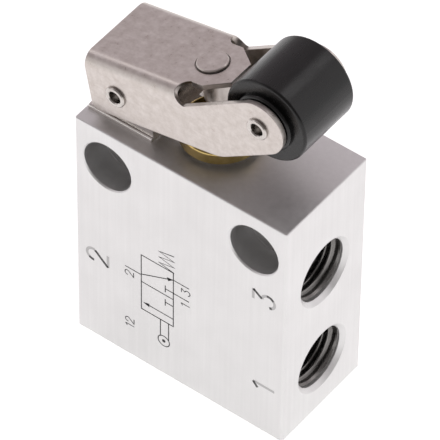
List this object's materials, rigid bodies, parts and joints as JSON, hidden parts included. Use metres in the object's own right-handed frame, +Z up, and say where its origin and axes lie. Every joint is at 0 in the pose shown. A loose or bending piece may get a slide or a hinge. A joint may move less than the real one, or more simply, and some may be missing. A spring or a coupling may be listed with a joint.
{
  "type": "roller lever air valve",
  "caption": "Roller lever air valve: aluminium block with threaded ports, and a sheet steel lever whose black roller pushes a sprung plunger and spool.",
  "frame": {"origin": "centre of the block's bottom face", "axes": "+Z up from the block to the roller, -Y out of the face with the port numbers, +X towards the face with ports 1 and 3, so the lever's free end is at +X"},
  "size_m": [0.036, 0.018, 0.0633],
  "materials": {
    "block": "satin clear anodised extrusion",
    "bush": "turned",
    "seal": "matt",
    "sheet": "mill finish stainless sheet",
    "cage": "moulded",
    "plug": "turned",
    "spring_steel": "oiled",
    "turned_steel": "turned stainless",
    "roller": "satin moulded acetal"
  },
  "bodies": {
    "housing": {"body": "block", "guide_bush": "bush", "stem_wiper": "seal", "lever_bracket": "sheet", "upper_cage": "cage", "middle_cage": "cage", "lower_cage": "cage", "top_seal": "seal", "exhaust_seal": "seal", "supply_seal": "seal", "end_plug": "plug", "plug_seal": "seal", "retaining_ring": "spring_steel", "return_spring": "spring_steel"},
    "push_rod": {"plunger": "turned_steel", "spool": "plug"},
    "lever_arm": {"lever": "sheet", "contact_stud": "turned_steel", "pivot_pin": "turned_steel", "roller_pin": "turned_steel"},
    "roller_wheel": {"roller": "roller"}
  },
  "joints": [
    {"name": "lever_pivot", "type": "hinge", "parent": "housing", "child": "lever_arm", "pos_m": [-0.0123, 0, 0.0479], "axis": [0, 1, 0], "range_deg": [0, 11.3], "stiffness_Nm_per_rad": 0.4, "springref_deg": -20.05},
    {"name": "plunger_slide", "type": "slide", "parent": "housing", "child": "push_rod", "axis": [0, 0, -1], "range_m": [0, 0.0024], "deforming": ["return_spring"]},
    {"name": "roller_spin", "type": "hinge", "parent": "lever_arm", "child": "roller_wheel", "pos_m": [0.01145, 0, 0.05675], "axis": [0, 1, 0], "continuous": true}
  ],
  "couplings": [
    {"joint": "plunger_slide", "follows": "lever_pivot", "m_per_rad": 0.012028}
  ]
}
